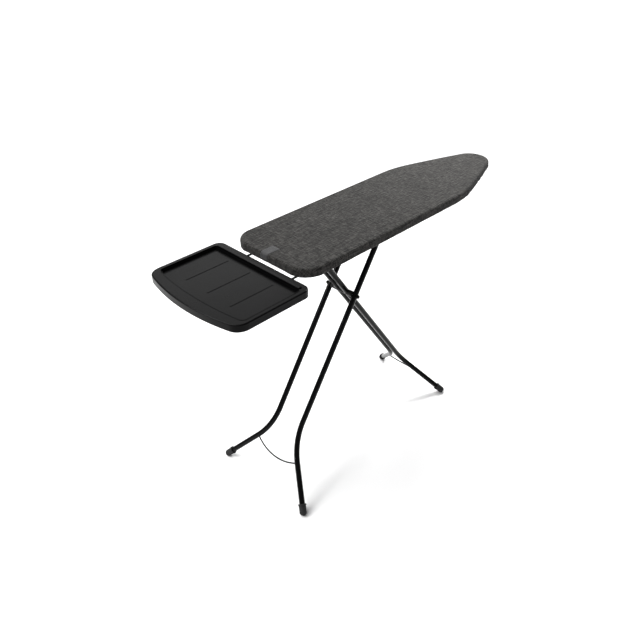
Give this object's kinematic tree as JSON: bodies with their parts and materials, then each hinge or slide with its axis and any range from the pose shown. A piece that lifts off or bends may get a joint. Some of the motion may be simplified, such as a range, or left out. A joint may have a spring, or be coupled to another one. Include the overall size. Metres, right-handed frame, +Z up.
{
  "type": "ironing board",
  "caption": "Folding ironing board with a woven dark cover, scissor legs of round steel tube, bowed wire braces, rubber feet and a moulded steam-unit holder at the square end.",
  "frame": {"origin": "centre of the bounding box at floor level, with the board open at full height", "axes": "+X along the board from the square end and its holder towards the round nose, +Y across the board, +Z up from the floor"},
  "size_m": [1.5748, 0.482, 1.0015],
  "materials": {
    "ironing_cover": "woven melange cotton, matt",
    "elastic": "woven elastic tape",
    "label_fabric": "smooth woven label",
    "foam": "open-cell foam and felt",
    "coated_steel": "satin black powder coat",
    "powder_coated_tube": "gloss black powder coat",
    "black_steel": "black coated wire",
    "zinc_steel": "zinc plated",
    "spring_steel": "bright spring wire",
    "black_nylon": "moulded black nylon",
    "foot_rubber": "dark grey rubber",
    "tray_plastic": "satin black moulded plastic, heat resistant"
  },
  "bodies": {
    "board": {"cover": "ironing_cover", "cover_hem_elastic": "elastic", "cross_rib_1": "coated_steel", "cross_rib_2": "coated_steel", "cross_rib_3": "coated_steel", "cross_rib_4": "coated_steel", "deck_panel": "coated_steel", "foam_pad": "foam", "guide_strap": "coated_steel", "hinge_pin": "zinc_steel", "hinge_spacers": "black_nylon", "holder_guides": "black_nylon", "label": "label_fabric", "lever_pin": "zinc_steel", "lever_spring": "spring_steel", "rail_far": "coated_steel", "rail_near": "coated_steel", "rail_rivets": "zinc_steel", "rim_channel": "coated_steel"},
    "height_lever": {"height_lever_grip": "black_nylon", "height_lever_plate": "black_steel", "height_lever_rod": "black_steel"},
    "steam_unit_holder": {"holder_clip_screws": "zinc_steel", "holder_clips": "black_nylon", "holder_collars": "black_steel", "holder_tray": "tray_plastic", "holder_wire": "black_steel"},
    "inner_legs": {"inner_brace_wire": "black_steel", "inner_foot_far": "foot_rubber", "inner_foot_near": "foot_rubber", "inner_leg_far": "powder_coated_tube", "inner_leg_near": "powder_coated_tube", "inner_top_tube": "powder_coated_tube", "pivot_axle": "zinc_steel", "pivot_cap_nuts": "black_steel", "pivot_middle_spacer": "black_nylon", "pivot_side_spacers": "black_nylon", "pivot_washers": "black_steel"},
    "outer_legs": {"outer_brace_wire": "black_steel", "outer_foot_far": "foot_rubber", "outer_foot_near": "foot_rubber", "outer_leg_far": "powder_coated_tube", "outer_leg_near": "powder_coated_tube", "outer_slide_bar": "powder_coated_tube", "outer_tube_plugs": "black_nylon", "slide_rollers": "black_nylon"}
  },
  "joints": [
    {"name": "leg_fold", "type": "hinge", "parent": "board", "child": "inner_legs", "pos_m": [-0.2595, 0, 0.944], "axis": [0, -1, 0], "range_deg": [0, 53]},
    {"name": "scissor_pivot", "type": "hinge", "parent": "inner_legs", "child": "outer_legs", "pos_m": [-0.0985, 0, 0.705], "axis": [0, -1, 0], "range_deg": [-106, 0]},
    {"name": "height_lever", "type": "hinge", "parent": "board", "child": "height_lever", "pos_m": [0.2825, 0, 0.962], "axis": [0, 1, 0], "range_deg": [0, 2], "stiffness_Nm_per_rad": 6, "springref_deg": -8.59},
    {"name": "holder_slide", "type": "slide", "parent": "board", "child": "steam_unit_holder", "axis": [-1, 0, 0], "range_m": [-0.013, 0.054]}
  ],
  "couplings": [
    {"joint": "scissor_pivot", "follows": "leg_fold", "ratio": -2}
  ]
}
